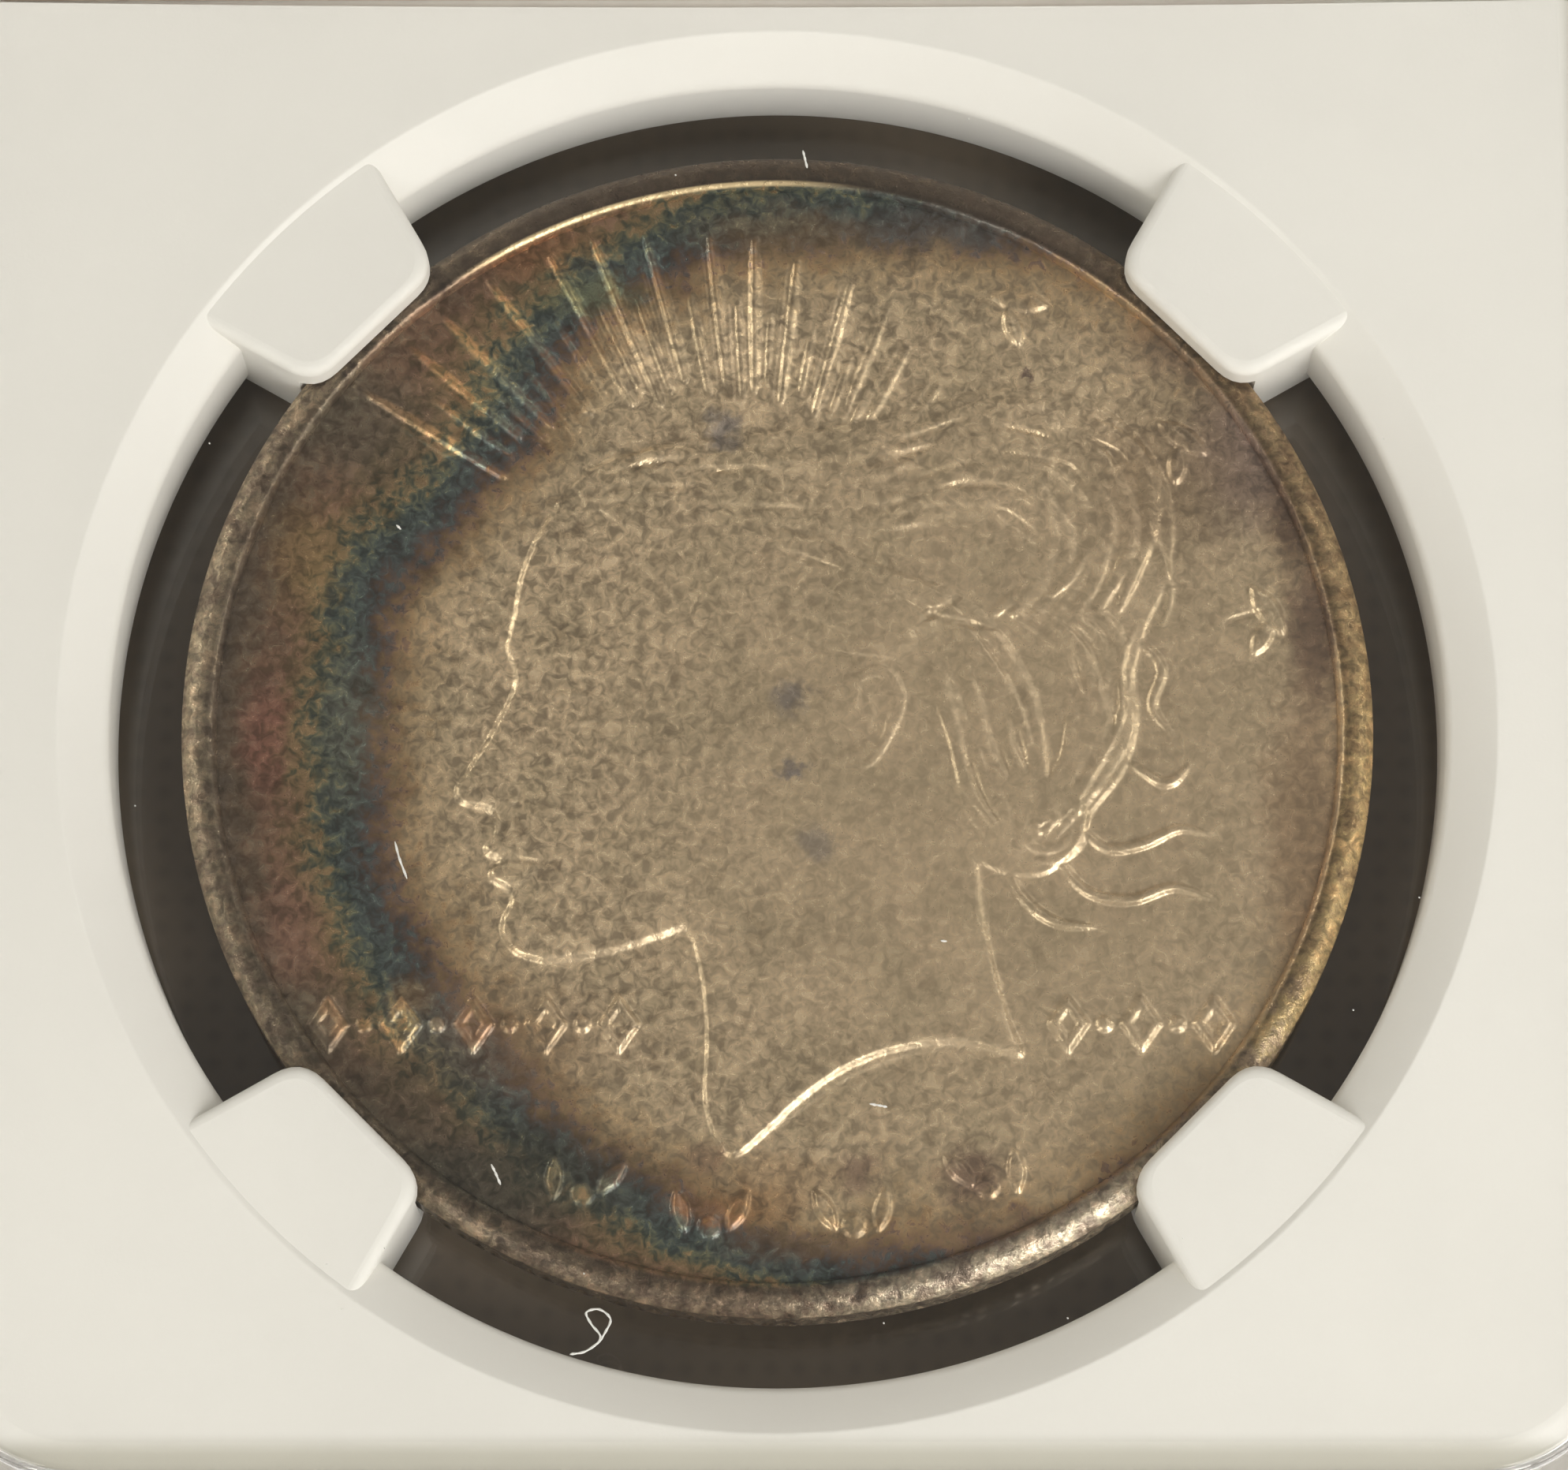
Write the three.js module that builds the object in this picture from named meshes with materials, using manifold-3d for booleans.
// Graded coin slab: a sealed two-shell case, clear, around a white core that holds one
// large silver coin by its edge, with a paper label in front and a foil label behind.
// Millimetres. +Z points out of the front window, +Y towards the label end.
// The origin is the middle of the back face that the slab lies on.

import * as THREE from 'three';
import { mergeVertices } from 'three/addons/utils/BufferGeometryUtils.js';
import Module from 'manifold-3d';

const wasm = await Module();
wasm.setup();

// Case
const SLAB = { width: 59, height: 84, depth: 8, corner: 4 };
const SEAM_Z = 4;
const SEAM_GAP = 0.1;
const RIM = { width: 1.7, height: 0.6 };
const NEST = { inset: 2, height: 0.6 };
const WINDOW_THICKNESS = 0.75;
const TONGUE = { width: 1, height: 0.8, outerInset: 1.1, gap: 0.2 };

// Core
const CORE = { width: 52.7, height: 75, thickness: 5, corner: 4.7 };
const CORE_BEVEL = { size: 0.85, depth: 0.4 };
const CORE_CLEARANCE = 0.2;
const CRUSH_RIB = { count: 7, pitch: 1.06, firstX: 10.3, width: 0.4, proud: 0.15, height: 3.6 };

// Round opening in the core and the prongs that reach into it
const COIN_CENTRE_Y = -13.45;
const OPENING = { faceRadius: 22.85, wallRadius: 21.3, chamferDepth: 0.95 };
const PRONG = {
  angles: [45, 135, 225, 315],
  outerRadius: 23,
  innerRadius: 18.3,
  outerHalfWidth: 3.95,
  innerHalfWidth: 2.8,
  corner: 0.9,
  edge: 0.25,
  step: 0.1,
};

// Coin
const COIN = { radius: 19.05, thickness: 2.4, rimWidth: 1.15, fieldDrop: 0.3 };
const COIN_SLOT_CLEARANCE = 0.12;

// Labels lie in a shallow step across the top of the core, on both faces
const LABEL_ZONE_Y = 10.45;
const LABEL = { width: 51.8, height: 26.6, thickness: 0.25, topCorner: 4.3, lowerCorner: 0.8 };
const LABEL_STEP = { front: 0.35, back: 0.42 };
const LABEL_MARGIN = 0.15;
const LABEL_GAP = 0.04;
const FOIL = { width: 30, height: 12, thickness: 0.06, corner: 1.2 };

// Facets
const CORNER_STEPS = 6;
const CIRCLE_STEPS = 72;
const COIN_STEPS = 90;

const MID_Z = SLAB.depth / 2;
const WINDOW_TOP_Z = SLAB.depth - RIM.height;
const CAVITY_TOP_Z = WINDOW_TOP_Z - WINDOW_THICKNESS;
const CAVITY_FLOOR_Z = SLAB.depth - CAVITY_TOP_Z;
const CORE_FRONT_Z = MID_Z + CORE.thickness / 2;
const CORE_BACK_Z = MID_Z - CORE.thickness / 2;
const LABEL_CENTRE_Y = LABEL_ZONE_Y + LABEL_MARGIN + LABEL.height / 2;
const PAST = 1;

function roundedRectangle(width, height, corner, lowerCorner = corner, centreY = 0) {
  const x = width / 2;
  const topY = centreY + height / 2 - corner;
  const lowY = centreY - height / 2 + lowerCorner;
  const shape = new THREE.Shape();
  shape.moveTo(x, lowY);
  shape.absarc(x - corner, topY, corner, 0, Math.PI / 2, false);
  shape.absarc(corner - x, topY, corner, Math.PI / 2, Math.PI, false);
  shape.absarc(lowerCorner - x, lowY, lowerCorner, Math.PI, 1.5 * Math.PI, false);
  shape.absarc(x - lowerCorner, lowY, lowerCorner, 1.5 * Math.PI, 2 * Math.PI, false);
  return shape;
}

// A flat slab of a shape between two heights, with an optional bevel on both faces.
function slab(shape, bottomZ, topZ, bevel = { size: 0, depth: 0 }) {
  const geometry = new THREE.ExtrudeGeometry(shape, {
    depth: topZ - bottomZ - 2 * bevel.depth,
    curveSegments: CORNER_STEPS,
    steps: 1,
    bevelEnabled: bevel.size > 0,
    bevelSize: bevel.size,
    bevelThickness: bevel.depth,
    bevelOffset: -bevel.size,
    bevelSegments: 1,
  });
  geometry.translate(0, 0, bottomZ + bevel.depth);
  return geometry;
}

// A solid turned about the Z axis from [radius, z] points that start and end on the axis.
function turned(points, steps) {
  const profile = points.map(([radius, z]) => new THREE.Vector2(radius, z));
  const geometry = new THREE.LatheGeometry(profile, steps);
  geometry.rotateX(Math.PI / 2);
  return geometry;
}

function toSolid(geometry) {
  const bare = geometry.clone();
  bare.deleteAttribute('normal');
  bare.deleteAttribute('uv');
  const merged = mergeVertices(bare, 1e-4);
  const mesh = new wasm.Mesh({
    numProp: 3,
    vertProperties: new Float32Array(merged.attributes.position.array),
    triVerts: new Uint32Array(merged.index.array),
  });
  return new wasm.Manifold(mesh);
}

function toGeometry(solid) {
  const mesh = solid.getMesh();
  const geometry = new THREE.BufferGeometry();
  geometry.setAttribute('position', new THREE.BufferAttribute(mesh.vertProperties, 3));
  geometry.setIndex(new THREE.BufferAttribute(mesh.triVerts, 1));
  geometry.computeVertexNormals();
  return geometry;
}

function solidPlate(width, height, corner, bottomZ, topZ, bevel) {
  return toSolid(slab(roundedRectangle(width, height, corner), bottomZ, topZ, bevel));
}

function outlinePlate(inset, bottomZ, topZ) {
  const { width, height, corner } = SLAB;
  return solidPlate(width - 2 * inset, height - 2 * inset, corner - inset, bottomZ, topZ);
}

function cavity(bottomZ, topZ) {
  const extra = 2 * CORE_CLEARANCE;
  const corner = CORE.corner + CORE_CLEARANCE;
  return solidPlate(CORE.width + extra, CORE.height + extra, corner, bottomZ, topZ);
}

// The ridge that melts into the other half's groove when the case is welded shut.
function seamRing(margin, bottomZ, topZ) {
  const outer = outlinePlate(TONGUE.outerInset - margin, bottomZ, topZ);
  const inner = outlinePlate(TONGUE.outerInset + TONGUE.width + margin, bottomZ - PAST, topZ + PAST);
  return outer.subtract(inner);
}

function frontShell() {
  const body = outlinePlate(0, SEAM_Z, SLAB.depth);
  const hollow = cavity(SEAM_Z - PAST, CAVITY_TOP_Z);
  const windowRecess = outlinePlate(RIM.width, WINDOW_TOP_Z, SLAB.depth + PAST);
  const tongue = seamRing(0, SEAM_Z - TONGUE.height, SEAM_Z + TONGUE.gap);
  return toGeometry(body.subtract(hollow).subtract(windowRecess).add(tongue));
}

function rearShell() {
  const top = SEAM_Z - SEAM_GAP;
  const body = outlinePlate(0, NEST.height, top);
  const nest = outlinePlate(NEST.inset, 0, NEST.height + TONGUE.gap);
  const hollow = cavity(CAVITY_FLOOR_Z, SEAM_Z + PAST);
  const groove = seamRing(TONGUE.gap, SEAM_Z - TONGUE.height - TONGUE.gap, SEAM_Z + PAST);
  return toGeometry(body.add(nest).subtract(hollow).subtract(groove));
}

function openingCutter() {
  const slope = (OPENING.faceRadius - OPENING.wallRadius) / OPENING.chamferDepth;
  const past = OPENING.faceRadius + slope * PAST;
  const cutter = turned(
    [
      [0, CORE_BACK_Z - PAST],
      [past, CORE_BACK_Z - PAST],
      [OPENING.wallRadius, CORE_BACK_Z + OPENING.chamferDepth],
      [OPENING.wallRadius, CORE_FRONT_Z - OPENING.chamferDepth],
      [past, CORE_FRONT_Z + PAST],
      [0, CORE_FRONT_Z + PAST],
    ],
    CIRCLE_STEPS,
  );
  return toSolid(cutter.translate(0, COIN_CENTRE_Y, 0));
}

// One prong in plan, along +X: a tapered block with two rounded corners at the coin.
function prongOutline() {
  const { outerRadius, innerRadius, outerHalfWidth, innerHalfWidth, corner } = PRONG;
  const spread = Math.asin(outerHalfWidth / outerRadius);
  const sideX = innerRadius + corner;
  const sideY = innerHalfWidth + ((outerHalfWidth - innerHalfWidth) * corner) / (outerRadius - innerRadius);
  const shape = new THREE.Shape();
  shape.moveTo(innerRadius, innerHalfWidth - corner);
  shape.lineTo(innerRadius, corner - innerHalfWidth);
  shape.quadraticCurveTo(innerRadius, -innerHalfWidth, sideX, -sideY);
  shape.absarc(0, 0, outerRadius, -spread, spread, false);
  shape.lineTo(sideX, sideY);
  shape.quadraticCurveTo(innerRadius, innerHalfWidth, innerRadius, innerHalfWidth - corner);
  return shape;
}

function prong(angle) {
  const edge = { size: PRONG.edge, depth: PRONG.edge };
  const block = slab(prongOutline(), CORE_BACK_Z + PRONG.step, CORE_FRONT_Z - PRONG.step, edge);
  block.rotateZ(THREE.MathUtils.degToRad(angle));
  return toSolid(block.translate(0, COIN_CENTRE_Y, 0));
}

function coinSlot() {
  const radius = COIN.radius + COIN_SLOT_CLEARANCE;
  const half = COIN.thickness / 2 + COIN_SLOT_CLEARANCE;
  const points = [
    [0, MID_Z - half],
    [radius, MID_Z - half],
    [radius, MID_Z + half],
    [0, MID_Z + half],
  ];
  return toSolid(turned(points, COIN_STEPS).translate(0, COIN_CENTRE_Y, 0));
}

function labelStep(bottomZ, topZ) {
  const height = CORE.height / 2 + PAST - LABEL_ZONE_Y;
  const box = new THREE.BoxGeometry(CORE.width + 2 * PAST, height, topZ - bottomZ);
  return toSolid(box.translate(0, LABEL_ZONE_Y + height / 2, (bottomZ + topZ) / 2));
}

function crushRib(x) {
  const height = CRUSH_RIB.proud + PAST;
  const box = new THREE.BoxGeometry(CRUSH_RIB.width, height, CRUSH_RIB.height);
  return toSolid(box.translate(x, -CORE.height / 2 - CRUSH_RIB.proud + height / 2, MID_Z));
}

function coreInsert() {
  let core = solidPlate(
    CORE.width,
    CORE.height,
    CORE.corner,
    CORE_BACK_Z,
    CORE_FRONT_Z,
    CORE_BEVEL,
  );
  for (let i = 0; i < CRUSH_RIB.count; i += 1) {
    const x = CRUSH_RIB.firstX + i * CRUSH_RIB.pitch;
    core = core.add(crushRib(x)).add(crushRib(-x));
  }
  core = core.subtract(openingCutter());
  for (const angle of PRONG.angles) {
    core = core.add(prong(angle));
  }
  core = core.subtract(coinSlot());
  core = core.subtract(labelStep(CORE_FRONT_Z - LABEL_STEP.front, CORE_FRONT_Z + PAST));
  core = core.subtract(labelStep(CORE_BACK_Z - PAST, CORE_BACK_Z + LABEL_STEP.back));
  return toGeometry(core);
}

// A coin blank with its struck rim raised above the field on both faces.
function coin() {
  const half = COIN.thickness / 2;
  const field = half - COIN.fieldDrop;
  const rimInner = COIN.radius - COIN.rimWidth;
  const rimFoot = rimInner - COIN.fieldDrop;
  const edgeBreak = 0.12;
  const points = [
    [0, -field],
    [rimFoot, -field],
    [rimInner, -half],
    [COIN.radius - edgeBreak, -half],
    [COIN.radius, edgeBreak - half],
    [COIN.radius, half - edgeBreak],
    [COIN.radius - edgeBreak, half],
    [rimInner, half],
    [rimFoot, field],
    [0, field],
  ];
  return toGeometry(toSolid(turned(points, COIN_STEPS)));
}

function label(bottomZ) {
  const { width, height, topCorner, lowerCorner, thickness } = LABEL;
  const shape = roundedRectangle(width, height, topCorner, lowerCorner, LABEL_CENTRE_Y);
  return toGeometry(toSolid(slab(shape, bottomZ, bottomZ + thickness)));
}

function securityFoil(topZ) {
  const shape = roundedRectangle(FOIL.width, FOIL.height, FOIL.corner, FOIL.corner, LABEL_CENTRE_Y);
  return toGeometry(toSolid(slab(shape, topZ - FOIL.thickness, topZ)));
}

function piece(name, geometry, look) {
  const mesh = new THREE.Mesh(geometry, new THREE.MeshStandardMaterial(look));
  mesh.name = name;
  return mesh;
}

const CLEAR_PLASTIC = { color: 0xeef2f2, roughness: 0.05, metalness: 0, transparent: true, opacity: 0.3 };
const WHITE_CORE = { color: 0xe4e2d8, roughness: 0.5, metalness: 0 };
const TONED_SILVER = { color: 0x8a7b69, roughness: 0.35, metalness: 1 };
const LABEL_PAPER = { color: 0xe6dfd6, roughness: 0.75, metalness: 0 };
const FOIL_SILVER = { color: 0xc4c8cc, roughness: 0.2, metalness: 1 };

const frontLabelZ = CORE_FRONT_Z - LABEL_STEP.front + LABEL_GAP;
const rearLabelZ = CORE_BACK_Z + LABEL_STEP.back - LABEL_GAP - LABEL.thickness;

const group = new THREE.Group();
group.add(piece('front_shell', frontShell(), CLEAR_PLASTIC));
group.add(piece('rear_shell', rearShell(), CLEAR_PLASTIC));
group.add(piece('core_insert', coreInsert(), WHITE_CORE));
group.add(piece('front_label', label(frontLabelZ), LABEL_PAPER));
group.add(piece('rear_label', label(rearLabelZ), LABEL_PAPER));
group.add(piece('security_foil', securityFoil(rearLabelZ - LABEL_GAP), FOIL_SILVER));

const coinMesh = piece('coin', coin(), TONED_SILVER);
coinMesh.position.set(0, COIN_CENTRE_Y, MID_Z);
group.add(coinMesh);

export default group;
